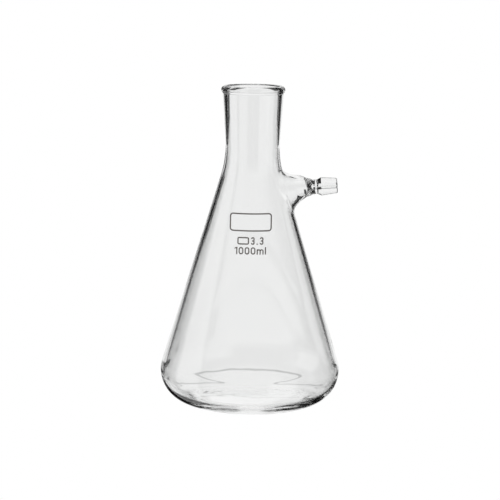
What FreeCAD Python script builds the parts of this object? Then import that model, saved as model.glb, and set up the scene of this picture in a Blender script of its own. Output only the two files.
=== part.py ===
"""Filter flask (Buchner flask) of 1000 ml nominal capacity, in borosilicate glass.

A thick-walled conical vessel with a beaded neck, a glass side arm fused to its shoulder that ends in a hose
nozzle, and fired enamel marks on the front. Millimetres, +Z up. The origin is the middle of the surface that
the flask stands on, the axis of revolution is Z, and the side arm points along +X.
"""
import FreeCAD, Part
import math
import os

# ---------------------------------------------------------------- driving dimensions
# Vessel, outside
BODY_DIAMETER = 133.0        # widest, at the heel
HEIGHT = 235.0               # standing surface to the top of the rim
HEEL_RADIUS = 24.0           # rounding between the base and the conical wall
NECK_LENGTH = 52.3           # top of the rim down to the corner where the cone meets the neck
SHOULDER_RADIUS = 74.0       # rounding of that corner, inside and out
NECK_TAPER = 3.9             # degrees that the neck's outside widens towards the rim
RIM_WIDTH = 5.0              # from the neck's bore out to the bead's outside
RIM_BEAD_RADIUS = 2.9        # half the height of the bead
RIM_UNDERCUT_RADIUS = 1.2    # hollow between the bead and the neck
BEAD_STANDS_OUT = 1.25       # how far the bead stands out of the neck
STANDING_RING_WIDTH = 3.0    # flat ring that the flask stands on
PUNT_RISE = 3.0              # how far the underside rises in its middle

# Vessel, inside
NECK_BORE = 37.0             # takes a rubber cone or a stopper
MOUTH_WIDENING = 0.9         # how much larger the bore's radius gets towards the rim
MOUTH_DEPTH = 24.0           # top of the rim down to where it starts to widen
WALL_AT_SHOULDER = 2.2       # thickness of the conical wall, at its top and at its bottom
WALL_AT_HEEL = 3.4
BASE_THICKNESS = 5.2         # over the standing ring
FLOOR_RISE = 2.0             # how far the inner floor rises in its middle
HEEL_TIGHTER_INSIDE = 7.0    # the heel's rounding is this much smaller inside

# Side arm, along its own axis; lengths run from where that axis leaves the wall
ARM_DROP = 24.6              # the arm's axis crosses the flask's this far below the neck's corner
ARM_TILT = 4.0               # degrees that the arm rises outwards
ROOT_RADIUS = 14.3           # the wall is drawn out into a cone round the arm's root: its radius at the wall,
ROOT_LENGTH = 9.0            # how far it takes to close in to the stub's radius,
ROOT_DROP = 1.6              # how far its axis lies below the arm's,
ROOT_WALL = 2.2              # and its thickness
ROOT_DEPTH = 2.0             # the cone runs on this far below the wall, and then straight in
ROOT_BLEND = 6.0             # rounding where the root's outside leaves the vessel's
STUB_RADIUS = 8.6
STUB_LENGTH = 9.0            # where the stub starts to close in, and its rounding there
STUB_ROUNDING = 6.0
WAIST_RADIUS = 5.3           # narrowest place, behind the nozzle, and the hollows at its two ends
WAIST_START = 20.3
WAIST_END = 22.0
WAIST_ROUNDING = 3.0
NOZZLE_START = 24.8          # shoulder of the hose nozzle
NOZZLE_SHOULDER_RADIUS = 6.8
NOZZLE_SHOULDER_ROUNDING = 0.35
NOZZLE_TIP_RADIUS = 5.6
NOZZLE_TIP_ROUNDING = 0.9
ARM_LENGTH = 36.7
STUB_BORE_RADIUS = 5.6
NOZZLE_BORE_RADIUS = 1.5
BORE_NARROWS_FROM = 14.0     # the bore closes in from the stub's radius to the nozzle's between these
BORE_NARROWS_TO = 17.6
BORE_ROUNDING = 2.0
BORE_MOUTH = 0.8             # bevel at the nozzle's mouth

# Enamel marks on the front of the cone, facing -Y; drops run from the neck's corner to each mark's middle
ENAMEL_THICKNESS = 0.12
MARKS_TURN = -1.2            # degrees that the marks stand off the front, about the flask's axis
FIELD_DROP = 43.8            # outlined field for writing on
FIELD_WIDTH = 30.4
FIELD_HEIGHT = 12.8
FIELD_STROKE = 0.95
FIELD_CORNER_RADIUS = 2.4
GRADE_DROP = 56.7            # a small empty box and the expansion class of the glass
GRADE_HEIGHT = 5.3
GRADE_GAP_SHARE = 0.26       # gap between its characters, as a share of their height
CAPACITY_DROP = 63.6         # nominal volume
CAPACITY_HEIGHT = 5.1
CAPACITY_GAP_SHARE = 0.17
STROKE_SHARE = 0.17          # width of a character's strokes, as a share of its height

# ---------------------------------------------------------------- worked out
ORIGIN = FreeCAD.Vector(0, 0, 0)
UP = FreeCAD.Vector(0, 0, 1)
BODY_RADIUS = BODY_DIAMETER / 2
BORE_RADIUS = NECK_BORE / 2
RIM_RADIUS = BORE_RADIUS + RIM_WIDTH
FOOT_RADIUS = BODY_RADIUS - HEEL_RADIUS          # where the heel's rounding meets the standing ring
CORNER_Z = HEIGHT - NECK_LENGTH
NECK_TOP = (RIM_RADIUS - BEAD_STANDS_OUT, HEIGHT - 2 * RIM_BEAD_RADIUS)
TAPER = math.radians(NECK_TAPER)
TILT = math.radians(ARM_TILT)


# ---------------------------------------------------------------- outlines, as (across, up) pairs
def direction(start, end):
    """Unit step from start towards end."""
    length = math.dist(start, end)
    return ((end[0] - start[0]) / length, (end[1] - start[1]) / length)


def moved(point, step, distance):
    """The point reached by going a distance from another along a unit step."""
    return (point[0] + step[0] * distance, point[1] + step[1] * distance)


def corner_arc(before, corner, after, radius):
    """Start, middle and end of the arc that rounds a corner between two straight runs."""
    back = direction(corner, before)
    on = direction(corner, after)
    half = math.acos(back[0] * on[0] + back[1] * on[1]) / 2
    run = radius / math.tan(half)
    inset = radius / math.sin(half) - radius
    inwards = direction((0, 0), (back[0] + on[0], back[1] + on[1]))
    return (moved(corner, back, run), moved(corner, inwards, inset), moved(corner, on, run))


def arc_about(centre, start, end, radius):
    """Start, middle and end of the shorter arc about a centre."""
    halfway = ((start[0] + end[0]) / 2, (start[1] + end[1]) / 2)
    return (start, moved(centre, direction(centre, halfway), radius), end)


def shallow_dome(edge_radius, edge_z, rise):
    """Apex, middle and edge of a dome centred on the axis."""
    sphere = (edge_radius ** 2 + rise ** 2) / (2 * rise)
    centre_z = edge_z + rise - sphere
    middle_z = centre_z + math.sqrt(sphere ** 2 - (edge_radius / 2) ** 2)
    return ((0, edge_z + rise), (edge_radius / 2, middle_z), (edge_radius, edge_z))


def closed_wire(stretches, place):
    """A wire through points (point,) and arcs (start, middle, end), with straight runs between them.

    place turns an (across, up) pair into a point in space.
    """
    edges = []
    for i, stretch in enumerate(stretches):
        if len(stretch) == 3:
            edges.append(Part.Arc(*[place(*point) for point in stretch]).toShape())
        end = place(*stretch[-1])
        following = place(*stretches[(i + 1) % len(stretches)][0])
        if end.distanceToPoint(following) > 1e-6:
            edges.append(Part.LineSegment(end, following).toShape())
    return Part.Wire(edges)


def rounded_wire(corners, place):
    """A wire through corners (across, up, rounding)."""
    stretches = []
    for i, (across, up, rounding) in enumerate(corners):
        before, after = corners[i - 1][:2], corners[(i + 1) % len(corners)][:2]
        stretches.append(corner_arc(before, (across, up), after, rounding) if rounding else ((across, up),))
    return closed_wire(stretches, place)


def revolved(wire, centre, axis):
    """The solid that a closed wire sweeps in a full turn."""
    return Part.Face(wire).revolve(centre, axis, 360)


# ---------------------------------------------------------------- vessel
def left_half(radius, z):
    """A point of the vessel's outline, on the side away from the arm, which keeps seams clear of the arm."""
    return FreeCAD.Vector(-radius, 0, z)


def tangent_angle(point, centre, radius):
    """Angle above the horizontal of the outward normal of the line from a point that touches a circle."""
    across, up = point[0] - centre[0], point[1] - centre[1]
    return math.atan2(up, across) - math.acos(radius / math.hypot(across, up))


# The conical wall runs straight from the neck's corner and touches the heel's rounding.
HEEL_CENTRE = (FOOT_RADIUS, HEEL_RADIUS)
CONE_CORNER = (NECK_TOP[0] - (NECK_TOP[1] - CORNER_Z) * math.tan(TAPER), CORNER_Z)
CONE_ANGLE = tangent_angle(CONE_CORNER, HEEL_CENTRE, HEEL_RADIUS)
CONE_NORMAL = (math.cos(CONE_ANGLE), math.sin(CONE_ANGLE))
CONE_FOOT = moved(HEEL_CENTRE, CONE_NORMAL, HEEL_RADIUS)


def cone_radius(z):
    """Outside radius of the straight conical wall at height z."""
    return CONE_FOOT[0] - (z - CONE_FOOT[1]) * math.tan(CONE_ANGLE)


def undercut_arc(bead_centre):
    """The hollow under the bead: it touches the tapered neck's line and the bead's circle."""
    neck_normal = (math.cos(TAPER), -math.sin(TAPER))
    neck_step = (math.sin(TAPER), math.cos(TAPER))
    neck_off_bead = ((NECK_TOP[0] - bead_centre[0]) * neck_normal[0]
                     + (NECK_TOP[1] - bead_centre[1]) * neck_normal[1])
    reach = RIM_BEAD_RADIUS + RIM_UNDERCUT_RADIUS
    out = neck_off_bead + RIM_UNDERCUT_RADIUS
    centre = moved(moved(bead_centre, neck_normal, out), neck_step, -math.sqrt(reach ** 2 - out ** 2))
    on_neck = moved(centre, neck_normal, -RIM_UNDERCUT_RADIUS)
    on_bead = moved(bead_centre, direction(bead_centre, centre), RIM_BEAD_RADIUS)
    return arc_about(centre, on_neck, on_bead, RIM_UNDERCUT_RADIUS)


def outside_blank():
    """The vessel as a solid lump of glass: its outer surface, closed over the mouth."""
    bead_centre = (RIM_RADIUS - RIM_BEAD_RADIUS, HEIGHT - RIM_BEAD_RADIUS)
    undercut = undercut_arc(bead_centre)
    return revolved(closed_wire([
        shallow_dome(FOOT_RADIUS - STANDING_RING_WIDTH, 0, PUNT_RISE),
        arc_about(HEEL_CENTRE, (FOOT_RADIUS, 0), CONE_FOOT, HEEL_RADIUS),
        corner_arc(CONE_FOOT, CONE_CORNER, undercut[0], SHOULDER_RADIUS),
        undercut,
        (undercut[2], (RIM_RADIUS, bead_centre[1]), (bead_centre[0], HEIGHT)),
        ((0, HEIGHT),),
    ], left_half), ORIGIN, UP)


def inside_space():
    """The space inside the vessel, up through the neck and out of its rounded mouth."""
    top = moved(CONE_CORNER, CONE_NORMAL, -WALL_AT_SHOULDER)
    bottom = moved(CONE_FOOT, CONE_NORMAL, -WALL_AT_HEEL)
    slope = (top[0] - bottom[0]) / (top[1] - bottom[1])
    floor_corner = (bottom[0] + (BASE_THICKNESS - bottom[1]) * slope, BASE_THICKNESS)
    neck_corner = (BORE_RADIUS, top[1] + (BORE_RADIUS - top[0]) / slope)
    heel = corner_arc((0, BASE_THICKNESS), floor_corner, neck_corner, HEEL_RADIUS - HEEL_TIGHTER_INSIDE)
    mouth_foot = (BORE_RADIUS, HEIGHT - MOUTH_DEPTH)
    mouth_radius = BORE_RADIUS + MOUTH_WIDENING
    lip = RIM_RADIUS - RIM_BEAD_RADIUS - mouth_radius
    lip_start = (mouth_radius, HEIGHT - lip)
    return revolved(closed_wire([
        shallow_dome(heel[0][0], BASE_THICKNESS, FLOOR_RISE),
        heel,
        corner_arc(floor_corner, neck_corner, mouth_foot, SHOULDER_RADIUS),
        (mouth_foot,),
        arc_about((mouth_radius + lip, HEIGHT - lip), lip_start, (mouth_radius + lip, HEIGHT), lip),
        ((0, HEIGHT),),
    ], left_half), ORIGIN, UP)


# ---------------------------------------------------------------- side arm
ARM_START = FreeCAD.Vector(0, 0, CORNER_Z - ARM_DROP)
ARM_AXIS = FreeCAD.Vector(math.cos(TILT), 0, math.sin(TILT))
ARM_ACROSS = FreeCAD.Vector(-math.sin(TILT), 0, math.cos(TILT))
# Along the arm's axis, the distance from the flask's axis to the outside of the conical wall
ARM_LEAVES = cone_radius(ARM_START.z) / (math.cos(TILT) + math.sin(TILT) * math.tan(CONE_ANGLE))


def on_arm(along, radius):
    """A point of the arm's outline: along its axis from the wall, and out from that axis."""
    return ARM_START + ARM_AXIS * (ARM_LEAVES + along) + ARM_ACROSS * radius


def arm_outside():
    """The arm as a solid rod, from halfway inside the vessel: stub, waist and hose nozzle."""
    return revolved(rounded_wire([
        (-ARM_LEAVES / 2, 0, 0),
        (-ARM_LEAVES / 2, STUB_RADIUS, 0),
        (STUB_LENGTH, STUB_RADIUS, STUB_ROUNDING),
        (WAIST_START, WAIST_RADIUS, WAIST_ROUNDING),
        (WAIST_END, WAIST_RADIUS, WAIST_ROUNDING),
        (NOZZLE_START, NOZZLE_SHOULDER_RADIUS, NOZZLE_SHOULDER_ROUNDING),
        (ARM_LENGTH, NOZZLE_TIP_RADIUS, NOZZLE_TIP_ROUNDING),
        (ARM_LENGTH, 0, 0),
    ], on_arm), ARM_START, ARM_AXIS)


def arm_bore():
    """The air way: wide in the stub, narrow through the nozzle, open into the vessel and past the tip."""
    past_tip = ARM_LENGTH + BORE_MOUTH
    return revolved(rounded_wire([
        (-ARM_LEAVES / 2, 0, 0),
        (-ARM_LEAVES / 2, STUB_BORE_RADIUS, 0),
        (BORE_NARROWS_FROM, STUB_BORE_RADIUS, BORE_ROUNDING),
        (BORE_NARROWS_TO, NOZZLE_BORE_RADIUS, BORE_ROUNDING),
        (ARM_LENGTH - BORE_MOUTH, NOZZLE_BORE_RADIUS, 0),
        (past_tip, NOZZLE_BORE_RADIUS + 2 * BORE_MOUTH, 0),
        (past_tip, 0, 0),
    ], on_arm), ARM_START, ARM_AXIS)


# The root stands square to the wall, below where the arm's axis leaves it.
WALL_UP = FreeCAD.Vector(-math.sin(CONE_ANGLE), 0, math.cos(CONE_ANGLE))
WALL_OUT = FreeCAD.Vector(math.cos(CONE_ANGLE), 0, math.sin(CONE_ANGLE))
ROOT_CENTRE = on_arm(0, 0) - WALL_UP * ROOT_DROP
ROOT_SLOPE = (ROOT_RADIUS - STUB_RADIUS) / ROOT_LENGTH
ROOT_OFFSET = ROOT_WALL * math.hypot(1, ROOT_SLOPE)      # the root's wall, measured across its axis


def on_root(along, radius):
    """A point of the root's outline: along its axis from the wall, and out from that axis."""
    return ROOT_CENTRE + WALL_OUT * along + WALL_UP * radius


def root(radius):
    """The arm's root as a solid plug from inside the vessel to inside the stub, by its radius at the wall."""
    wide, narrow = radius + ROOT_DEPTH * ROOT_SLOPE, STUB_BORE_RADIUS / 2
    end = (radius - narrow) / ROOT_SLOPE
    return revolved(rounded_wire([
        (-ROOT_RADIUS, 0, 0),
        (-ROOT_RADIUS, wide, 0),
        (-ROOT_DEPTH, wide, ROOT_BLEND),
        (end, narrow, 0),
        (end, 0, 0),
    ], on_root), ROOT_CENTRE, WALL_OUT)


def joined(vessel, plug, arm, blend):
    """The three in one, with a rounding where the plug meets the vessel."""
    def lies_on(edge, shape):
        first, last = edge.ParameterRange
        probes = [edge.valueAt(first + share * (last - first)) for share in (0.2, 0.4, 0.6, 0.8)]
        return all(shape.Shells[0].distToShape(Part.Vertex(probe))[0] < 0.001 for probe in probes)

    drawn_out = vessel.fuse(plug)
    edges = [edge for edge in drawn_out.Edges if not edge.Degenerated]
    meeting = [edge for edge in edges if lies_on(edge, plug) and lies_on(edge, vessel)]
    return drawn_out.makeFillet(blend, meeting).fuse(arm)


def glass_outside(blank):
    """The vessel's lump of glass with the arm fused to it."""
    return joined(blank, root(ROOT_RADIUS), arm_outside(), ROOT_BLEND)


def glass_inside():
    """All the space inside the glass, through the mouth and the nozzle."""
    return joined(inside_space(), root(ROOT_RADIUS - ROOT_OFFSET), arm_bore(), ROOT_BLEND + ROOT_WALL)


# ---------------------------------------------------------------- enamel marks
def punch(corners):
    """A prism through the front wall, on a flat shape with corners (across, up, rounding)."""
    def in_front(across, up):
        return FreeCAD.Vector(across, -BODY_RADIUS, up)

    return Part.Face(rounded_wire(corners, in_front)).extrude(FreeCAD.Vector(0, BODY_RADIUS, 0))


def bar(x0, z0, x1, z1, rounding=0):
    """A rectangle from its lower left to its upper right corner."""
    return punch([(x, z, rounding) for x, z in ((x0, z0), (x1, z0), (x1, z1), (x0, z1))])


def ring(x0, z0, x1, z1, rounding, stroke):
    """An outline of even stroke just inside a rounded rectangle."""
    hole = bar(x0 + stroke, z0 + stroke, x1 - stroke, z1 - stroke, rounding - stroke)
    return bar(x0, z0, x1, z1, rounding).cut(hole)


def character_one(height, stroke):
    width = height * 0.42
    stem = width - stroke
    flag = punch([(0, height * 0.7, 0), (stem, height * 0.82, 0), (stem, height, 0), (0, height * 0.86, 0)])
    return bar(stem, 0, width, height).fuse(flag), width


def character_nought(height, stroke):
    width = height * 0.68
    return ring(0, 0, width, height, width * 0.49, stroke), width


def character_three(height, stroke):
    width = height * 0.5
    middle = height / 2
    low = ring(0, 0, width, middle + stroke / 2, width * 0.46, stroke)
    high = ring(0, middle - stroke / 2, width, height, width * 0.46, stroke)
    open_side = bar(-stroke, height * 0.24, width * 0.42, height * 0.76)
    joint = bar(width * 0.3, middle - stroke / 2, width * 0.7, middle + stroke / 2)
    return low.fuse(high).cut(open_side).fuse(joint), width


def character_point(height, stroke):
    return bar(0, 0, stroke, stroke), stroke


def character_m(height, stroke):
    width = height * 0.98
    tall = height * 0.73
    arch = (width + stroke) / 2
    shape = bar(0, 0, stroke, tall)
    for left in (0, width - arch):
        loop = ring(left, -tall, left + arch, tall, arch * 0.48, stroke)
        shape = shape.fuse(loop.cut(bar(left - stroke, -2 * tall, left + arch + stroke, 0)))
    return shape, width


def character_l(height, stroke):
    return bar(0, 0, stroke, height), stroke


def empty_box(height, stroke):
    width = height * 1.6
    return ring(0, 0, width, height, stroke * 1.5, stroke), width


CHARACTERS = {"0": character_nought, "1": character_one, "3": character_three, ".": character_point,
              "m": character_m, "l": character_l, "#": empty_box}


def fired_on(punches, middle_z, height):
    """Enamel of even thickness on the conical wall, wherever a punch passes through the wall's front."""
    low, high = middle_z - height, middle_z + height
    foot = FreeCAD.Vector(0, 0, low)
    thicker = ENAMEL_THICKNESS / math.cos(CONE_ANGLE)
    wall = Part.makeCone(cone_radius(low), cone_radius(high), high - low, foot)
    skin = Part.makeCone(cone_radius(low) + thicker, cone_radius(high) + thicker, high - low, foot).cut(wall)
    solids = []
    for shape in punches:
        solids += skin.common(shape.removeSplitter()).Solids
    marks = Part.makeCompound(solids)
    marks.rotate(ORIGIN, UP, MARKS_TURN)
    return marks


def line_of_enamel(text, drop, height, gap_share):
    """A line of characters centred on the front."""
    stroke = height * STROKE_SHARE
    middle_z = CORNER_Z - drop
    shapes, x = [], 0.0
    for letter in text:
        shape, width = CHARACTERS[letter](height, stroke)
        shape.translate(FreeCAD.Vector(x, 0, middle_z - height / 2))
        shapes.append(shape)
        x += width + gap_share * height
    for shape in shapes:
        shape.translate(FreeCAD.Vector((gap_share * height - x) / 2, 0, 0))
    return fired_on(shapes, middle_z, height)


def marking_field():
    """The outlined field for writing on."""
    across, middle_z = FIELD_WIDTH / 2, CORNER_Z - FIELD_DROP
    low, high = middle_z - FIELD_HEIGHT / 2, middle_z + FIELD_HEIGHT / 2
    outline = ring(-across, low, across, high, FIELD_CORNER_RADIUS, FIELD_STROKE)
    return fired_on([outline], middle_z, FIELD_HEIGHT)


# ---------------------------------------------------------------- build
def main():
    blank = outside_blank()
    space = glass_inside()
    parts = {
        "flask_body": blank.cut(space),
        "side_arm": glass_outside(blank).cut(blank).cut(space),
        "marking_field": marking_field(),
        "glass_grade_mark": line_of_enamel("#3.3", GRADE_DROP, GRADE_HEIGHT, GRADE_GAP_SHARE),
        "capacity_mark": line_of_enamel("1000ml", CAPACITY_DROP, CAPACITY_HEIGHT, CAPACITY_GAP_SHARE),
    }
    os.makedirs("parts", exist_ok=True)
    for name, shape in parts.items():
        shape.exportStep(os.path.join("parts", name + ".step"))
        print(f"{name}: {len(shape.Solids)} solid(s), {shape.Volume / 1000:.3f} cm3, valid {shape.isValid()}")


main()
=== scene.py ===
"""Filter flask of 1000 ml: the glass with its fused side arm, its enamel marks, and a studio to see it in."""

import math

import bmesh
import bpy
import numpy as np
from bpy.props import FloatProperty, FloatVectorProperty, PointerProperty
from mathutils import Matrix, Vector, noise


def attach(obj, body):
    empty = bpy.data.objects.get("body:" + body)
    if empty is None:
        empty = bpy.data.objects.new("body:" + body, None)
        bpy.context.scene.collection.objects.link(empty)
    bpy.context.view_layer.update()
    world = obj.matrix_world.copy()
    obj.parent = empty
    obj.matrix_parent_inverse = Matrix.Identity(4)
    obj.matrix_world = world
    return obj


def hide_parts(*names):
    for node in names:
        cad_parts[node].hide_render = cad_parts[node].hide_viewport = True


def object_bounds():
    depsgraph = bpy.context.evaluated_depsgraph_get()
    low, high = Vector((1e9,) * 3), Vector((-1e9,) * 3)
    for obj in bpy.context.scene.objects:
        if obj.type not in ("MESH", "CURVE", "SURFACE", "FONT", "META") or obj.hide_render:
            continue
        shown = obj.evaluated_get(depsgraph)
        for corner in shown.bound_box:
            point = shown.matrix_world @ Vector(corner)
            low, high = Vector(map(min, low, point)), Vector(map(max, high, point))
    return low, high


bl_info = {
    "name": "Filter flask",
    "version": (1, 0, 0),
    "blender": (4, 5, 0),
    "location": "View3D > Sidebar > Flask",
    "description": "Builds a thick-walled glass filter flask with a side arm and enamel marks",
    "category": "Object",
}

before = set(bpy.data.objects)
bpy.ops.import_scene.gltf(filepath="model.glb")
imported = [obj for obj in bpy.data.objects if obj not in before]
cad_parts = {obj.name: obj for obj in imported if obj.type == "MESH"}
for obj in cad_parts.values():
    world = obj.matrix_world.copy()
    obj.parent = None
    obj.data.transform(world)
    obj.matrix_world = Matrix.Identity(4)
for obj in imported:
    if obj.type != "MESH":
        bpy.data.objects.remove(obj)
cad_low, cad_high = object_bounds()
MM = 0.001
CAD_RADIUS = (cad_high.y - cad_low.y) / 2
CAD_HEIGHT = cad_high.z - cad_low.z
GLASS_NODES = ("flask_body", "side_arm")
ENAMEL_NODES = ("marking_field", "glass_grade_mark", "capacity_mark")


def length(name, description, millimetres, **options):
    return FloatProperty(name=name, description=description, default=millimetres * MM, min=0.0,
                         unit="LENGTH", subtype="DISTANCE", precision=5, **options)


def degrees(name, description, value):
    return FloatProperty(name=name, description=description, default=math.radians(value),
                         unit="ROTATION", subtype="ANGLE")


def colour(name, description, value):
    return FloatVectorProperty(name=name, description=description, default=value, size=3,
                               min=0.0, max=1.0, subtype="COLOR")


# ---------------------------------------------------------------- what a user may change
class FlaskVesselSizes(bpy.types.PropertyGroup):
    heel: length("Heel rounding", "Rounding between the base and the conical wall", 24.0)
    neck: length("Neck length", "Top of the rim down to the corner where the cone meets the neck", 52.3)
    shoulder: length("Shoulder rounding", "Rounding of that corner", 74.0)
    taper: degrees("Neck taper", "Widening of the neck's outside towards the rim", 3.9)
    rim: length("Rim width", "From the neck's bore out to the outside of the bead", 5.0)
    bead: length("Bead radius", "Half the height of the bead", 2.9)
    undercut: length("Undercut radius", "Hollow between the bead and the neck", 1.2)
    proud: length("Bead proud", "How far the bead stands out of the neck", 1.25)
    ring: length("Standing ring", "Width of the flat ring that the flask stands on", 3.0)
    punt: length("Punt rise", "How far the underside rises in its middle", 3.0)
    bore: length("Neck bore", "Diameter of the neck inside", 37.0)
    widening: length("Mouth widening", "How much larger the bore's radius gets towards the rim", 0.9)
    mouth: length("Mouth depth", "From the rim down to where the bore starts to widen", 24.0)
    wall_top: length("Wall at shoulder", "Thickness of the conical wall at its top", 2.2)
    wall_low: length("Wall at heel", "Thickness of the conical wall at its bottom", 3.4)
    base: length("Base thickness", "Thickness over the standing ring", 5.2)
    floor: length("Floor rise", "How far the inner floor rises in its middle", 2.0)
    tighter: length("Heel tighter inside", "How much smaller the heel's rounding is inside", 7.0)
    wave: length("Inner waves", "Depth of the slight waves left on the inner surface by blowing", 0.10)


class FlaskArmSizes(bpy.types.PropertyGroup):
    drop: length("Drop", "From the neck's corner down to where the arm's axis crosses the flask's", 24.6)
    tilt: degrees("Tilt", "Rise of the arm outwards", 4.0)
    root: length("Root radius", "Radius at the wall of the cone that the wall is drawn out into", 14.3)
    root_length: length("Root length", "How far that cone takes to close in to the stub's radius", 9.0)
    root_drop: length("Root drop", "How far the cone's axis lies below the arm's", 1.6)
    root_wall: length("Root wall", "Thickness of the cone's wall", 2.2)
    root_depth: length("Root depth", "How far the cone runs on below the wall", 2.0)
    blend: length("Root blend", "Rounding where the root leaves the vessel", 6.0)
    stub: length("Stub radius", "Radius of the stub", 8.6)
    waist: length("Waist radius", "Radius at the narrowest place", 5.3)
    shoulder: length("Nozzle shoulder", "Radius of the hose nozzle's shoulder", 6.8)
    tip: length("Nozzle tip", "Radius of the hose nozzle's tip", 5.6)
    stub_length: length("Stub length", "From the wall to where the stub starts to close in", 9.0)
    stub_rounding: length("Stub rounding", "Rounding where the stub starts to close in", 6.0)
    waist_start: length("Waist start", "From the wall to the start of the waist", 20.3)
    waist_end: length("Waist end", "From the wall to the end of the waist", 22.0)
    waist_rounding: length("Waist rounding", "Rounding at both ends of the waist", 3.0)
    nozzle_start: length("Nozzle start", "From the wall to the nozzle's shoulder", 24.8)
    shoulder_rounding: length("Shoulder rounding", "Rounding of the nozzle's shoulder", 0.35)
    tip_rounding: length("Tip rounding", "Rounding of the nozzle's tip", 0.9)
    length: length("Length", "From the wall to the tip, along the arm's axis", 36.7)
    bore: length("Stub bore", "Radius of the air way in the stub", 5.6)
    jet: length("Nozzle bore", "Radius of the air way in the nozzle", 1.5)
    narrows_from: length("Narrows from", "From the wall to where the air way starts to narrow", 14.0)
    narrows_to: length("Narrows to", "From the wall to where the air way is narrow", 17.6)
    bore_rounding: length("Air way rounding", "Rounding at both ends of that narrowing", 2.0)
    bevel: length("Bore mouth", "How much the nozzle's bore opens at its mouth", 0.8)


class FlaskFinish(bpy.types.PropertyGroup):
    tint: colour("Glass tint", "Colour that light takes on at a surface of the glass", (0.992, 0.995, 0.993))
    refraction: FloatProperty(name="Refractive index", description="Of borosilicate glass", default=1.473,
                              min=1.0)
    enamel: colour("Enamel", "Colour of the fired marks", (0.27, 0.25, 0.235))


class FlaskStudio(bpy.types.PropertyGroup):
    distance: length("Camera distance", "From the flask's axis, along the floor", 1314.2)
    eye: length("Camera height", "Above the floor", 324.1)
    pitch: degrees("Camera pitch", "Below the horizon", 9.10)
    roll: degrees("Camera roll", "Lean of the camera", 0.72)
    aside: length("Camera aside", "How far the camera stands to the left", 0.95)
    lens: FloatProperty(name="Lens", description="Focal length on a 36 mm sensor", default=129.5,
                        unit="CAMERA", min=1.0)
    spread: degrees("Backdrop half width", "Half of the angle that the bright backdrop fills", 17.5)


# ---------------------------------------------------------------- outlines, as (across, up) pairs
def direction(start, end):
    """Unit step from start towards end."""
    run = math.dist(start, end)
    return ((end[0] - start[0]) / run, (end[1] - start[1]) / run)


def moved(point, step, distance):
    return (point[0] + step[0] * distance, point[1] + step[1] * distance)


def corner_arc(before, corner, after, radius):
    """Start, middle and end of the arc that rounds a corner between two straight runs."""
    back, on = direction(corner, before), direction(corner, after)
    half = math.acos(back[0] * on[0] + back[1] * on[1]) / 2
    run = radius / math.tan(half)
    inwards = direction((0, 0), (back[0] + on[0], back[1] + on[1]))
    return (moved(corner, back, run), moved(corner, inwards, radius / math.sin(half) - radius),
            moved(corner, on, run))


def arc_about(centre, start, end, radius):
    """Start, middle and end of the shorter arc about a centre."""
    halfway = ((start[0] + end[0]) / 2, (start[1] + end[1]) / 2)
    return (start, moved(centre, direction(centre, halfway), radius), end)


def shallow_dome(edge_radius, edge_z, rise):
    """Apex, middle and edge of a dome centred on the axis."""
    sphere = (edge_radius ** 2 + rise ** 2) / (2 * rise)
    middle_z = edge_z + rise - sphere + math.sqrt(sphere ** 2 - (edge_radius / 2) ** 2)
    return ((0, edge_z + rise), (edge_radius / 2, middle_z), (edge_radius, edge_z))


def rounded(corners):
    """Corners (across, up, rounding) of an open outline as arcs and points."""
    stretches = []
    for i, (across, up, rounding) in enumerate(corners):
        if rounding:
            stretches.append(corner_arc(corners[i - 1][:2], (across, up), corners[i + 1][:2], rounding))
        else:
            stretches.append(((across, up),))
    return stretches


def circle_through(a, b, c):
    """Centre of the circle through three points."""
    (ax, ay), (bx, by), (cx, cy) = a, b, c
    twice = 2 * (ax * (by - cy) + bx * (cy - ay) + cx * (ay - by))
    sa, sb, sc = ax * ax + ay * ay, bx * bx + by * by, cx * cx + cy * cy
    return ((sa * (by - cy) + sb * (cy - ay) + sc * (ay - by)) / twice,
            (sa * (cx - bx) + sb * (ax - cx) + sc * (bx - ax)) / twice)


def fine_line(stretches, spacing=0.08 * MM):
    """Closely spaced points along an open outline."""
    points = []

    def straight(start, end):
        steps = max(2, math.ceil(math.dist(start, end) / spacing))
        for i in range(steps + 1):
            share = i / steps
            points.append((start[0] + (end[0] - start[0]) * share, start[1] + (end[1] - start[1]) * share))

    last = None
    for stretch in stretches:
        if last is not None and math.dist(last, stretch[0]) > 1e-7:
            straight(last, stretch[0])
        if len(stretch) == 3:
            centre = circle_through(*stretch)
            angles = [math.atan2(p[1] - centre[1], p[0] - centre[0]) for p in stretch]
            radius = math.dist(centre, stretch[0])
            turn = sum(math.remainder(b - a, math.tau) for a, b in zip(angles, angles[1:]))
            steps = max(8, math.ceil(abs(turn) * radius / spacing))
            for i in range(steps + 1):
                angle = angles[0] + turn * i / steps
                points.append((centre[0] + radius * math.cos(angle), centre[1] + radius * math.sin(angle)))
        last = stretch[-1]
    return np.array(points)


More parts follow.
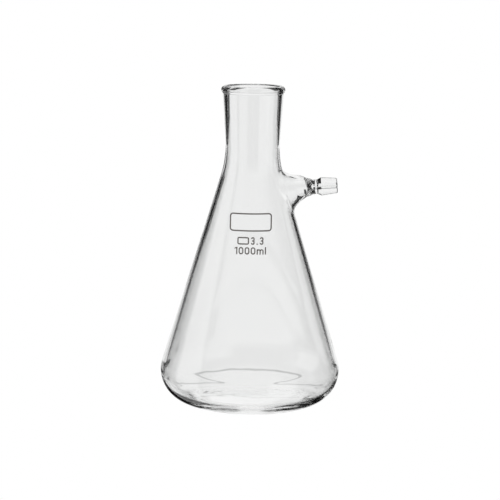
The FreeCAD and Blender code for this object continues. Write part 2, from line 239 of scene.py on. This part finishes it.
# ---------------------------------------------------------------- the vessel's outline
def outlines(sizes):
    """The vessel's outer outline, its inner one, the neck's corner's height and the wall's slant.

    Both outlines run from the middle of the bottom up to the rim.
    """
    rim_radius = sizes.bore / 2 + sizes.rim
    foot = CAD_RADIUS - sizes.heel
    corner_z = CAD_HEIGHT - sizes.neck
    neck_top = (rim_radius - sizes.proud, CAD_HEIGHT - 2 * sizes.bead)
    corner = (neck_top[0] - (neck_top[1] - corner_z) * math.tan(sizes.taper), corner_z)
    heel_centre = (foot, sizes.heel)
    across, up = corner[0] - heel_centre[0], corner[1] - heel_centre[1]
    slant = math.atan2(up, across) - math.acos(sizes.heel / math.hypot(across, up))
    normal = (math.cos(slant), math.sin(slant))
    cone_foot = moved(heel_centre, normal, sizes.heel)

    bead_centre = (rim_radius - sizes.bead, CAD_HEIGHT - sizes.bead)
    neck_normal = (math.cos(sizes.taper), -math.sin(sizes.taper))
    neck_step = (math.sin(sizes.taper), math.cos(sizes.taper))
    off = ((neck_top[0] - bead_centre[0]) * neck_normal[0] + (neck_top[1] - bead_centre[1]) * neck_normal[1]
           + sizes.undercut)
    reach = sizes.bead + sizes.undercut
    hollow = moved(moved(bead_centre, neck_normal, off), neck_step, -math.sqrt(reach ** 2 - off ** 2))
    undercut = arc_about(hollow, moved(hollow, neck_normal, -sizes.undercut),
                         moved(bead_centre, direction(bead_centre, hollow), sizes.bead), sizes.undercut)
    outer = [shallow_dome(foot - sizes.ring, 0, sizes.punt),
             arc_about(heel_centre, (foot, 0), cone_foot, sizes.heel),
             corner_arc(cone_foot, corner, undercut[0], sizes.shoulder),
             undercut,
             (undercut[2], (rim_radius, bead_centre[1]), (bead_centre[0], CAD_HEIGHT))]

    top = moved(corner, normal, -sizes.wall_top)
    low = moved(cone_foot, normal, -sizes.wall_low)
    slope = (top[0] - low[0]) / (top[1] - low[1])
    floor_corner = (low[0] + (sizes.base - low[1]) * slope, sizes.base)
    neck_corner = (sizes.bore / 2, top[1] + (sizes.bore / 2 - top[0]) / slope)
    heel = corner_arc((0, sizes.base), floor_corner, neck_corner, sizes.heel - sizes.tighter)
    mouth_foot = (sizes.bore / 2, CAD_HEIGHT - sizes.mouth)
    mouth = sizes.bore / 2 + sizes.widening
    lip = rim_radius - sizes.bead - mouth
    lip_centre = (mouth + lip, CAD_HEIGHT - lip)
    inner = [shallow_dome(heel[0][0], sizes.base, sizes.floor),
             heel,
             corner_arc(floor_corner, neck_corner, mouth_foot, sizes.shoulder),
             (mouth_foot,),
             arc_about(lip_centre, (mouth, lip_centre[1]), (lip_centre[0], CAD_HEIGHT), lip)]
    return outer, inner, corner_z, slant


WIDE_WAVE = 26 * MM      # wide waves are everywhere, close ones only low down
CLOSE_WAVE = 9 * MM
UPRIGHT = 0.55           # makes the wide waves longer upwards
LOW_DOWN = 45 * MM       # below this height the wide waves grow deeper, and close ones come in
DEEPER = 1.5
FLOOR_WAVES = 20 * MM    # below this height the waves go up and down, above it in and out
RIM_FADE = 30 * MM       # the waves fade out over this distance below the rim


def inner_wave(point, depth):
    """How far the inner surface stands off its true shape at a point."""
    wide = noise.noise(Vector((point.x, point.y, point.z * UPRIGHT)) / WIDE_WAVE)
    close = noise.noise(Vector((point.x, point.y, point.z)) / CLOSE_WAVE + Vector((3.1, 0, 0)))
    low_down = max(0.0, 1.0 - point.z / LOW_DOWN)
    return depth * (wide * (1 + DEEPER * low_down) + close * low_down)


# ---------------------------------------------------------------- the glass, as one closed surface
COLUMNS = 256
WINDOW_COLUMNS = 34      # half of the columns left out of the wall where the arm is fused on
WINDOW_ROWS = 34
WINDOW_BELOW = 22 * MM   # how far the window reaches below and above the place where the arm crosses the wall
WINDOW_ABOVE = 18 * MM
INNER_WINDOW_ABOVE = 17 * MM
ROW_STEP = 1.1 * MM      # widest spacing of the wall's rows, and of the arm's
ARM_STEP = 0.8 * MM
WALL_RINGS = 5           # rings from the window's edge to the root, and on along the root
ROOT_RINGS = 26
ROOT_ENDS_OUTSIDE = 13.0 * MM    # from the wall to where those rings meet the arm's own, outside and inside
ROOT_ENDS_INSIDE = 12.4 * MM
# How far from the arm's axis the root's rings start: at its sides, and how much less at its top.
ROOT_SPREAD_OUTSIDE = (16.8 * MM, 2.2 * MM)
ROOT_SPREAD_INSIDE = (16.0 * MM, 1.4 * MM)
# Where two shapes meet bluntly, round_join reaches further than a fillet of the same radius does.
BLEND_SHARE = 0.48
ARM_JOIN = 2.5 * MM      # rounding between the root and the arm


class Surface:
    """A closed surface in the making."""

    def __init__(self):
        self.points, self.faces = [], []

    def add(self, points):
        """Adds points and gives their numbers."""
        first = len(self.points)
        self.points.extend(points)
        return list(range(first, len(self.points)))

    def band(self, ring, following, closed=True):
        """Quads between two rings of equal count."""
        for i in range(len(ring) if closed else len(ring) - 1):
            j = (i + 1) % len(ring)
            self.faces.append((ring[i], ring[j], following[j], following[i]))


def wall_rows(outline, low, high, step):
    """Where the window starts on an outline and all its points, WINDOW_ROWS even steps from low to high."""
    points = fine_line(outline)
    at_low = int(np.argmax(points[:, 1] >= low))
    at_high = int(np.argmax(points[:, 1] >= high))
    below = spread_between(points, 0, at_low, step)
    above = spread_between(points, at_high, len(points) - 1, step)
    heights = np.linspace(points[at_low, 1], points[at_high, 1], WINDOW_ROWS + 1)
    radii = np.interp(heights, points[at_low:at_high + 1, 1], points[at_low:at_high + 1, 0])
    window = np.stack([radii, heights], axis=1)
    return len(below) - 1, np.concatenate((below[:-1], window, above[1:]))


def spread_between(points, first, last, step, turn_step=math.radians(5)):
    """Points along part of an outline: the closer together, the tighter it turns there."""
    part = points[first:last + 1]
    runs = np.diff(part, axis=0)
    lengths = np.linalg.norm(runs, axis=1)
    kept = np.concatenate(([True], lengths > 1e-9))
    part = part[kept]
    runs = np.diff(part, axis=0)
    lengths = np.linalg.norm(runs, axis=1)
    headings = np.unwrap(np.arctan2(runs[:, 1], runs[:, 0]))
    turns = np.concatenate(([0], np.abs(np.diff(headings))))
    cost = np.concatenate(([0], np.cumsum(lengths / step + turns / turn_step)))
    wanted = np.linspace(0, cost[-1], math.ceil(cost[-1]) + 1)
    return np.stack([np.interp(wanted, cost, part[:, 0]), np.interp(wanted, cost, part[:, 1])], axis=1)


class ArmFrame:
    """The side arm's own axis: a point on it is start + axis * along + side * y + rise * z."""

    def __init__(self, start_z, tilt):
        self.start = Vector((0, 0, start_z))
        self.axis = Vector((math.cos(tilt), 0, math.sin(tilt)))
        self.side = Vector((0, 1, 0))
        self.rise = Vector((-math.sin(tilt), 0, math.cos(tilt)))

    def place(self, along, y, z):
        return self.start + self.axis * along + self.side * y + self.rise * z

    def on_wall(self, wall, y, z):
        """How far along the axis the wall is, beside it by y and z."""
        along = np.interp(self.start.z, wall[:, 1], wall[:, 0])
        for _ in range(8):
            point = self.place(along, y, z)
            radius = np.interp(point.z, wall[:, 1], wall[:, 0])
            along += (math.sqrt(radius ** 2 - point.y ** 2) - point.x) / self.axis.x
        return float(along)


def round_join(first, second, blend):
    """Distance from the union of two shapes, with a rounding between them, given the distance from each."""
    near = np.hypot(np.maximum(blend - first, 0), np.maximum(blend - second, 0))
    return np.maximum(blend, np.minimum(first, second)) - near


class ArmSurface:
    """One side of the glass round the arm's root: the wall, the drawn-out root and the arm, joined."""

    def __init__(self, arm, wall, slant, profile, root_centre, root_radius, sizes, blend):
        self.arm, self.wall, self.profile = arm, wall, profile
        self.cosine = math.cos(slant)
        self.centre = np.array(root_centre)
        self.out = np.array((math.cos(slant), 0, math.sin(slant)))
        self.radius, self.slope = root_radius, (sizes.root - sizes.stub) / sizes.root_length
        self.depth, self.blend = sizes.root_depth, blend * BLEND_SHARE

    def distance(self, points):
        radius = np.interp(points[:, 2], self.wall[:, 1], self.wall[:, 0])
        from_wall = (np.hypot(points[:, 0], points[:, 1]) - radius) * self.cosine
        off = points - self.centre
        height = off @ self.out
        across = np.linalg.norm(off - height[:, None] * self.out, axis=1)
        from_root = across - self.radius + self.slope * np.maximum(height, -self.depth)
        from_root = from_root / math.hypot(1, self.slope)
        off = points - np.array(self.arm.start)
        along = off @ np.array(self.arm.axis)
        across = np.linalg.norm(off - along[:, None] * np.array(self.arm.axis), axis=1)
        from_arm = across - np.interp(along, self.profile[:, 0], self.profile[:, 1])
        return round_join(round_join(from_wall, from_root, self.blend), from_arm, ARM_JOIN)

    def settle(self, points):
        """Moves points onto the surface."""
        points = np.array(points)
        tiny = 0.01 * MM
        for _ in range(12):
            here = self.distance(points)
            ahead = [self.distance(points + tiny * axis) for axis in np.eye(3)]
            slope = (np.stack(ahead, axis=1) - here[:, None]) / tiny
            points -= slope * (here / np.sum(slope ** 2, axis=1))[:, None]
        return [Vector(p) for p in points]


def window_ring(grid, low_row, high_row):
    """Point numbers round a wall's window, anticlockwise from its lower left as seen from outside."""
    columns = [i % COLUMNS for i in range(-WINDOW_COLUMNS, WINDOW_COLUMNS + 1)]
    step = 1 if high_row > low_row else -1
    rows = list(range(low_row, high_row + step, step))
    ring = [grid[low_row][c] for c in columns[:-1]]
    ring += [grid[r][columns[-1]] for r in rows[:-1]]
    ring += [grid[high_row][c] for c in reversed(columns[1:])]
    ring += [grid[r][columns[0]] for r in reversed(rows[1:])]
    return ring


def root_rings(surface, corners, spread, end_along, end_radius):
    """Rings from a window's edge over the wall and along the root, to meet the arm at end_along."""
    arm, wall = surface.arm, surface.wall

    def reach(angle):
        return spread[0] - spread[1] * math.sin(angle)

    angles = [math.atan2(z, y) for y, z in corners]
    rings = []
    for k in range(1, WALL_RINGS + 1):
        share = k / WALL_RINGS
        ring = []
        for (y, z), angle in zip(corners, angles):
            far = reach(angle)
            at_y = y + (math.cos(angle) * far - y) * share
            at_z = z + (math.sin(angle) * far - z) * share
            ring.append(arm.place(arm.on_wall(wall, at_y, at_z), at_y, at_z))
        rings.append(ring)
    for k in range(1, ROOT_RINGS + 1):
        t = k / ROOT_RINGS
        weights = ((1 - t) ** 3, 3 * t * (1 - t) ** 2, 3 * t * t * (1 - t), t ** 3)
        ring = []
        for angle in angles:
            far = reach(angle)
            start = arm.on_wall(wall, math.cos(angle) * far, math.sin(angle) * far)
            inwards = arm.on_wall(wall, math.cos(angle) * end_radius, math.sin(angle) * end_radius)
            # These knots only space the rings out. All but the last ring are then moved onto the surface.
            knots = ((start, far), (start + (inwards - start) * 0.45, far - (far - end_radius) * 0.45),
                     (end_along - (end_along - start) * 0.55, end_radius + (far - end_radius) * 0.12),
                     (end_along, end_radius))
            along = sum(w * p[0] for w, p in zip(weights, knots))
            radius = sum(w * p[1] for w, p in zip(weights, knots))
            ring.append(arm.place(along, math.cos(angle) * radius, math.sin(angle) * radius))
        rings.append(ring)
    return [surface.settle(ring) for ring in rings[:-1]] + rings[-1:], angles


def arm_profiles(sizes, leaves):
    """The arm's outside and its air way, as (along, radius) points from the flask's axis out to the tip."""
    tip = leaves + sizes.length
    mouth = sizes.jet + sizes.bevel
    outside = fine_line(rounded([
        (0, sizes.stub, 0),
        (leaves + sizes.stub_length, sizes.stub, sizes.stub_rounding),
        (leaves + sizes.waist_start, sizes.waist, sizes.waist_rounding),
        (leaves + sizes.waist_end, sizes.waist, sizes.waist_rounding),
        (leaves + sizes.nozzle_start, sizes.shoulder, sizes.shoulder_rounding),
        (tip, sizes.tip, sizes.tip_rounding),
        (tip, mouth, 0)]))
    air_way = fine_line(rounded([
        (0, sizes.bore, 0),
        (leaves + sizes.narrows_from, sizes.bore, sizes.bore_rounding),
        (leaves + sizes.narrows_to, sizes.jet, sizes.bore_rounding),
        (tip - sizes.bevel, sizes.jet, 0),
        (tip, mouth, 0)]))
    return outside, air_way


def build_glass(vessel, arm_sizes):
    """The vessel and the arm fused to it, as one closed surface, and the numbers of its inner points."""
    outer, inner, corner_z, slant = outlines(vessel)
    arm = ArmFrame(corner_z - arm_sizes.drop, arm_sizes.tilt)
    outer_wall = fine_line(outer[1:3])
    inner_wall = fine_line(inner[1:3])
    leaves = arm.on_wall(outer_wall, 0, 0)
    crossing_z = arm.place(leaves, 0, 0).z
    surface = Surface()

    low = crossing_z - WINDOW_BELOW
    outer_first, outer_rows = wall_rows(outer, low, crossing_z + WINDOW_ABOVE, ROW_STEP)
    inner_first, inner_rows = wall_rows(inner, low, crossing_z + INNER_WINDOW_ABOVE, ROW_STEP)
    rows = [tuple(p) for p in outer_rows] + [tuple(p) for p in inner_rows[::-1]]
    outer_count = len(outer_rows)
    inner_low = outer_count + (len(inner_rows) - 1 - inner_first)
    windows = ((outer_first, outer_first + WINDOW_ROWS), (inner_low - WINDOW_ROWS, inner_low))

    punt = surface.add([Vector((0, 0, rows[0][1]))])[0]
    grid = {}
    for r, (radius, z) in enumerate(rows):
        if radius < 1e-6:
            continue
        ring = []
        for c in range(COLUMNS):
            angle = math.tau * c / COLUMNS
            point = Vector((radius * math.cos(angle), radius * math.sin(angle), z))
            ring.append(point)
        grid[r] = surface.add(ring)
    floor = surface.add([Vector((0, 0, rows[-1][1]))])[0]

    def in_window(r, c):
        near = c < WINDOW_COLUMNS or c >= COLUMNS - WINDOW_COLUMNS
        return near and any(first <= r < last for first, last in windows)

    for r in sorted(grid):
        if r + 1 not in grid:
            continue
        for c in range(COLUMNS):
            if not in_window(r, c):
                d = (c + 1) % COLUMNS
                surface.faces.append((grid[r][c], grid[r][d], grid[r + 1][d], grid[r + 1][c]))
    first, last = min(grid), max(grid)
    for c in range(COLUMNS):
        d = (c + 1) % COLUMNS
        surface.faces.append((punt, grid[first][d], grid[first][c]))
        surface.faces.append((grid[last][c], grid[last][d], floor))

    outer_edge = window_ring(grid, windows[0][0], windows[0][1])
    inner_edge = window_ring(grid, windows[1][1], windows[1][0])

    def beside(ring):
        points = [surface.points[i] - arm.start for i in ring]
        return [(p.dot(arm.side), p.dot(arm.rise)) for p in points]

    out_from, in_from = leaves + ROOT_ENDS_OUTSIDE, leaves + ROOT_ENDS_INSIDE
    outside, air_way = arm_profiles(arm_sizes, leaves)
    wall_out = Vector((math.cos(slant), 0, math.sin(slant)))
    root_centre = arm.place(leaves, 0, 0) - Vector((-wall_out.z, 0, wall_out.x)) * arm_sizes.root_drop
    slope = (arm_sizes.root - arm_sizes.stub) / arm_sizes.root_length
    thinner = arm_sizes.root - arm_sizes.root_wall * math.hypot(1, slope)
    around = ArmSurface(arm, outer_wall, slant, outside, root_centre, arm_sizes.root, arm_sizes,
                        arm_sizes.blend)
    within = ArmSurface(arm, inner_wall, slant, air_way, root_centre, thinner, arm_sizes,
                        arm_sizes.blend + arm_sizes.root_wall)
    out_radius = float(np.interp(out_from, outside[:, 0], outside[:, 1]))
    out_rings, out_angles = root_rings(around, beside(outer_edge), ROOT_SPREAD_OUTSIDE, out_from, out_radius)
    in_rings, in_angles = root_rings(within, beside(inner_edge), ROOT_SPREAD_INSIDE, in_from, arm_sizes.bore)
    there = spread_between(outside, int(np.argmax(outside[:, 0] >= out_from)), len(outside) - 1, ARM_STEP)
    back = spread_between(air_way, int(np.argmax(air_way[:, 0] >= in_from)), len(air_way) - 1, ARM_STEP)
    along_arm = np.concatenate((there, back[-2::-1]))
    rings = [outer_edge] + [surface.add(ring) for ring in out_rings]
    turns = [math.remainder(b - a, math.tau) for a, b in zip(out_angles, in_angles)]
    inside_from = int(np.argmax(along_arm[:, 0]))
    for k, (along, radius) in enumerate(along_arm[1:-1], start=1):
        share = max(0.0, (k - inside_from) / (len(along_arm) - 1 - inside_from))
        ring = []
        for angle, turn in zip(out_angles, turns):
            at = angle + turn * share
            ring.append(arm.place(along, radius * math.cos(at), radius * math.sin(at)))
        rings.append(surface.add(ring))
    rings += [surface.add(ring) for ring in reversed(in_rings)]
    rings.append(inner_edge)
    for ring, following in zip(rings, rings[1:]):
        surface.band(ring, following)
    inner_numbers = set(i for r in grid if r >= outer_count for i in grid[r])
    inner_numbers |= set(i for ring in rings[-WALL_RINGS - ROOT_RINGS - 1:] for i in ring)
    inner_numbers.add(floor)
    return surface, inner_numbers


def wavy(surface, inner_numbers, depth, rim_z):
    """Gives the vessel's inner surface the slight waves that blowing leaves."""
    for i in inner_numbers:
        point = surface.points[i]
        fade = min(1.0, max(0.0, (rim_z - point.z) / RIM_FADE))
        across = math.hypot(point.x, point.y)
        if point.z > FLOOR_WAVES and across > 0:
            step = Vector((point.x / across, point.y / across, 0))
        else:
            step = Vector((0, 0, 1))
        surface.points[i] = point + step * inner_wave(point, depth) * fade


def mesh_object(name, surface):
    mesh = bpy.data.meshes.new(name)
    mesh.from_pydata([tuple(p) for p in surface.points], [], surface.faces)
    used = set(i for face in surface.faces for i in face)
    if len(used) < len(surface.points):
        bm = bmesh.new()
        bm.from_mesh(mesh)
        bmesh.ops.delete(bm, geom=[v for v in bm.verts if not v.link_faces], context="VERTS")
        bm.to_mesh(mesh)
        bm.free()
    mesh.update()
    for polygon in mesh.polygons:
        polygon.use_smooth = True
    made = bpy.data.objects.new(name, mesh)
    bpy.context.scene.collection.objects.link(made)
    return made


# ---------------------------------------------------------------- materials
def put(tree, kind, inputs=(), **settings):
    """Adds a node, with its settings and its inputs, which are values or other nodes' outputs."""
    made = tree.nodes.new(kind)
    for key, value in settings.items():
        setattr(made, key, value)
    for key, value in dict(inputs).items():
        if isinstance(value, bpy.types.NodeSocket):
            tree.links.new(value, made.inputs[key])
        else:
            made.inputs[key].default_value = value
    return made


def new_material(name):
    material = bpy.data.materials.new(name)
    material.use_nodes = True
    material.node_tree.nodes.clear()
    return material, material.node_tree


def glass_material(finish):
    material, tree = new_material("borosilicate_glass")
    position = put(tree, "ShaderNodeTexCoord").outputs["Object"]
    broad = put(tree, "ShaderNodeTexNoise", {"Vector": position, "Scale": 55.0, "Detail": 2.0})
    bump = put(tree, "ShaderNodeBump", {"Height": broad.outputs["Fac"], "Strength": 0.02, "Distance": 0.001})
    shader = put(tree, "ShaderNodeBsdfPrincipled", {
        "Base Color": (*finish.tint, 1.0), "IOR": finish.refraction, "Transmission Weight": 1.0,
        "Roughness": 0.0, "Normal": bump.outputs["Normal"]})
    put(tree, "ShaderNodeOutputMaterial", {"Surface": shader.outputs["BSDF"]})
    return material


def enamel_material(finish):
    material, tree = new_material("fired_enamel")
    position = put(tree, "ShaderNodeTexCoord").outputs["Object"]
    grain = put(tree, "ShaderNodeTexNoise", {"Vector": position, "Scale": 2400.0, "Detail": 3.0})
    fired = put(tree, "ShaderNodeMapRange", {"Value": grain.outputs["Fac"], "From Min": 0.3, "From Max": 0.7,
                                             "To Min": 0.4, "To Max": 0.65})
    bump = put(tree, "ShaderNodeBump", {"Height": grain.outputs["Fac"], "Strength": 0.2, "Distance": 0.00005})
    shader = put(tree, "ShaderNodeBsdfPrincipled", {
        "Base Color": (*finish.enamel, 1.0), "Roughness": fired.outputs["Result"],
        "Normal": bump.outputs["Normal"]})
    put(tree, "ShaderNodeOutputMaterial", {"Surface": shader.outputs["BSDF"]})
    return material


# ---------------------------------------------------------------- pieces
class FLASK_OT_glass(bpy.types.Operator):
    """Make the glass: the vessel and the side arm fused to it"""
    bl_idname = "flask.glass"
    bl_label = "Glass"

    def execute(self, context):
        scene = context.scene
        surface, inner_numbers = build_glass(scene.flask_vessel, scene.flask_arm)
        wavy(surface, inner_numbers, scene.flask_vessel.wave, CAD_HEIGHT)
        glass = mesh_object("flask_glass", surface)
        glass.data.materials.append(glass_material(scene.flask_finish))
        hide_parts(*GLASS_NODES)
        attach(glass, "root")
        return {"FINISHED"}


class FLASK_OT_marks(bpy.types.Operator):
    """Give the fired marks their enamel"""
    bl_idname = "flask.marks"
    bl_label = "Enamel marks"

    def execute(self, context):
        enamel = enamel_material(context.scene.flask_finish)
        for name in ENAMEL_NODES:
            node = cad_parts[name]
            for place in node.material_slots:
                place.material = enamel
        return {"FINISHED"}


class FLASK_OT_studio(bpy.types.Operator):
    """Make the floor, the light and the camera"""
    bl_idname = "flask.studio"
    bl_label = "Studio"

    def execute(self, context):
        scene = context.scene
        studio = scene.flask_studio
        make_floor()
        make_light(scene, studio)
        make_camera(scene, studio)
        return {"FINISHED"}


FLOOR_HALF = 3.0
FLOOR_BELOW = 0.2 * MM
BACKDROP_AZIMUTH = 88.0          # degrees, anticlockwise from +X
BACKDROP_BRIGHTNESS = 0.91
BACKDROP_HEIGHTS = (-11.5, 75.0)
LOW_BACKDROP_HALF_WIDTH = 11.5   # the backdrop is narrower low down
LOW_BACKDROP_HEIGHTS = (-70.0, -8.0)
BACKDROP_SOFTNESS = 1.0
# A thin grey line across the backdrop, which the flask's base bends into an arc.
LINE_FADES = (-18.6, -17.8, -17.4, -16.6)
LINE_DEPTH = 0.35
AMBIENT = 0.01
OVERHEAD_FADES = (50.0, 65.0)
OVERHEAD_BRIGHTNESS = 0.9
# The other panels: azimuth, half width, lowest, highest (degrees), brightness, softness (degrees).
PANELS = (
    (108.0, 13.0, -11.5, -5.0, 0.85, 1.0),
    (68.0, 13.0, -11.5, -5.0, 0.85, 1.0),
    (135.0, 15.0, -58.0, -15.5, 0.9, 1.5),
    (180.0, 20.0, -30.0, 30.0, 0.9, 2.0),
    (-45.0, 20.0, -50.0, 15.0, 0.8, 5.0),
    (-110.0, 75.0, -86.0, -38.0, 0.9, 3.0))
FILL_PLACE, FILL_TOWARDS = (-0.5, -1.2, 1.0), (0, 0, 0.13)
FILL_POWER, FILL_SIZE = 6.0, 0.8
LIGHT_BOUNCES = 64               # light runs a long way inside the wall


def make_floor():
    mesh = bpy.data.meshes.new("floor")
    corners = ((-1, -1), (1, -1), (1, 1), (-1, 1))
    mesh.from_pydata([(x * FLOOR_HALF, y * FLOOR_HALF, 0) for x, y in corners], [], [(0, 1, 2, 3)])
    floor = bpy.data.objects.new("floor", mesh)
    floor.location.z = -FLOOR_BELOW
    bpy.context.scene.collection.objects.link(floor)
    material, tree = new_material("pale_floor")
    seen = put(tree, "ShaderNodeLightPath").outputs["Is Camera Ray"]
    pale = put(tree, "ShaderNodeEmission", {"Color": (1, 1, 1, 1), "Strength": 1.0})
    clear = put(tree, "ShaderNodeBsdfTransparent")
    mix = put(tree, "ShaderNodeMixShader", {0: seen, 1: clear.outputs[0], 2: pale.outputs[0]})
    put(tree, "ShaderNodeOutputMaterial", {"Surface": mix.outputs[0]})
    mesh.materials.append(material)


def make_light(scene, studio):
    """Soft panels round the flask, with dark gaps between them, and a lamp for the marks."""
    world = bpy.data.worlds.new("studio")
    world.use_nodes = True
    scene.world = world
    tree = world.node_tree
    tree.nodes.clear()
    heading = put(tree, "ShaderNodeTexCoord").outputs["Generated"]
    up = put(tree, "ShaderNodeSeparateXYZ", {"Vector": heading}).outputs["Z"]
    level = put(tree, "ShaderNodeVectorMath", {0: heading, 1: (1, 1, 0)}, operation="MULTIPLY")
    level = put(tree, "ShaderNodeVectorMath", {0: level.outputs["Vector"]}, operation="NORMALIZE")
    level = level.outputs["Vector"]

    def maths(operation, *values):
        return put(tree, "ShaderNodeMath", dict(enumerate(values)), operation=operation).outputs[0]

    def step(value, start, end):
        return put(tree, "ShaderNodeMapRange", {"Value": value, "From Min": start, "From Max": end,
                                                "To Min": 0.0, "To Max": 1.0},
                   interpolation_type="SMOOTHSTEP").outputs["Result"]

    def panel(azimuth, half, low, high, bright, soft):
        azimuth, half, low, high, soft = (math.radians(v) for v in (azimuth, half, low, high, soft))
        toward = put(tree, "ShaderNodeVectorMath", {0: level, 1: (math.cos(azimuth), math.sin(azimuth), 0)},
                     operation="DOT_PRODUCT").outputs["Value"]
        beside = put(tree, "ShaderNodeVectorMath", {0: level, 1: (-math.sin(azimuth), math.cos(azimuth), 0)},
                     operation="DOT_PRODUCT").outputs["Value"]
        aside = maths("ABSOLUTE", beside)
        mask = step(aside, math.sin(half + soft), math.sin(half - soft))
        mask = maths("MULTIPLY", mask, step(toward, 0.0, 0.1))
        mask = maths("MULTIPLY", mask, step(up, math.sin(low - soft), math.sin(low + soft)))
        mask = maths("MULTIPLY", mask, step(up, math.sin(high + soft), math.sin(high - soft)))
        return maths("MULTIPLY", mask, bright)

    def above(start, end):
        """A mask that fades in between two heights, in degrees."""
        return step(up, math.sin(math.radians(start)), math.sin(math.radians(end)))

    backdrop = maths("MAXIMUM",
                     panel(BACKDROP_AZIMUTH, math.degrees(studio.spread), *BACKDROP_HEIGHTS,
                           BACKDROP_BRIGHTNESS, BACKDROP_SOFTNESS),
                     panel(BACKDROP_AZIMUTH, LOW_BACKDROP_HALF_WIDTH, *LOW_BACKDROP_HEIGHTS,
                           BACKDROP_BRIGHTNESS, BACKDROP_SOFTNESS))
    line = maths("MULTIPLY", above(LINE_FADES[0], LINE_FADES[1]), above(LINE_FADES[3], LINE_FADES[2]))
    backdrop = maths("MULTIPLY", backdrop, maths("SUBTRACT", 1.0, maths("MULTIPLY", line, LINE_DEPTH)))
    light = maths("ADD", backdrop, AMBIENT)
    for values in PANELS:
        light = maths("MAXIMUM", light, panel(*values))
    light = maths("MAXIMUM", light, maths("MULTIPLY", above(*OVERHEAD_FADES), OVERHEAD_BRIGHTNESS))
    seen = put(tree, "ShaderNodeLightPath").outputs["Is Camera Ray"]
    studio_light = put(tree, "ShaderNodeBackground", {"Color": (1, 1, 1, 1), "Strength": light})
    white = put(tree, "ShaderNodeBackground", {"Color": (1, 1, 1, 1), "Strength": 1.0})
    mix = put(tree, "ShaderNodeMixShader", {0: seen, 1: studio_light.outputs[0], 2: white.outputs[0]})
    put(tree, "ShaderNodeOutputWorld", {"Surface": mix.outputs[0]})

    lamp = bpy.data.lights.new("front_fill", "AREA")
    lamp.energy, lamp.size = FILL_POWER, FILL_SIZE
    fill = bpy.data.objects.new("front_fill", lamp)
    fill.location = FILL_PLACE
    fill.rotation_euler = (Vector(FILL_TOWARDS) - fill.location).to_track_quat("-Z", "Y").to_euler()
    fill.visible_glossy = False
    fill.visible_transmission = False
    scene.collection.objects.link(fill)

    scene.view_settings.view_transform = "Standard"
    scene.view_settings.look = "None"
    scene.cycles.max_bounces = LIGHT_BOUNCES
    scene.cycles.transmission_bounces = LIGHT_BOUNCES
    scene.cycles.glossy_bounces = LIGHT_BOUNCES
    scene.cycles.transparent_max_bounces = 16


def make_camera(scene, studio):
    data = bpy.data.cameras.new("camera")
    data.lens, data.sensor_width = studio.lens, 36.0
    camera = bpy.data.objects.new("camera", data)
    camera.matrix_world = (Matrix.Translation((-studio.aside, -studio.distance, studio.eye))
                           @ Matrix.Rotation(math.pi / 2 - studio.pitch, 4, "X")
                           @ Matrix.Rotation(studio.roll, 4, "Z"))
    scene.collection.objects.link(camera)
    scene.camera = camera


# ---------------------------------------------------------------- panel and registration
STEPS = (FLASK_OT_glass, FLASK_OT_marks, FLASK_OT_studio)
GROUPS = {"flask_vessel": FlaskVesselSizes, "flask_arm": FlaskArmSizes, "flask_finish": FlaskFinish,
          "flask_studio": FlaskStudio}


class FLASK_PT_sidebar(bpy.types.Panel):
    bl_idname = "FLASK_PT_sidebar"
    bl_label = "Filter flask"
    bl_space_type = "VIEW_3D"
    bl_region_type = "UI"
    bl_category = "Flask"

    def draw(self, context):
        for step in STEPS:
            self.layout.operator(step.bl_idname)
        for name in GROUPS:
            box = self.layout.box()
            group = getattr(context.scene, name)
            for key in group.__annotations__:
                box.prop(group, key)


def register():
    for group in GROUPS.values():
        bpy.utils.register_class(group)
    for name, group in GROUPS.items():
        setattr(bpy.types.Scene, name, PointerProperty(type=group))
    for cls in STEPS + (FLASK_PT_sidebar,):
        bpy.utils.register_class(cls)


def unregister():
    for cls in reversed(STEPS + (FLASK_PT_sidebar,)):
        bpy.utils.unregister_class(cls)
    for name in GROUPS:
        delattr(bpy.types.Scene, name)
    for group in reversed(list(GROUPS.values())):
        bpy.utils.unregister_class(group)


def main():
    register()
    bpy.ops.flask.glass()
    bpy.ops.flask.marks()
    bpy.ops.flask.studio()


if __name__ == "__main__":
    main()
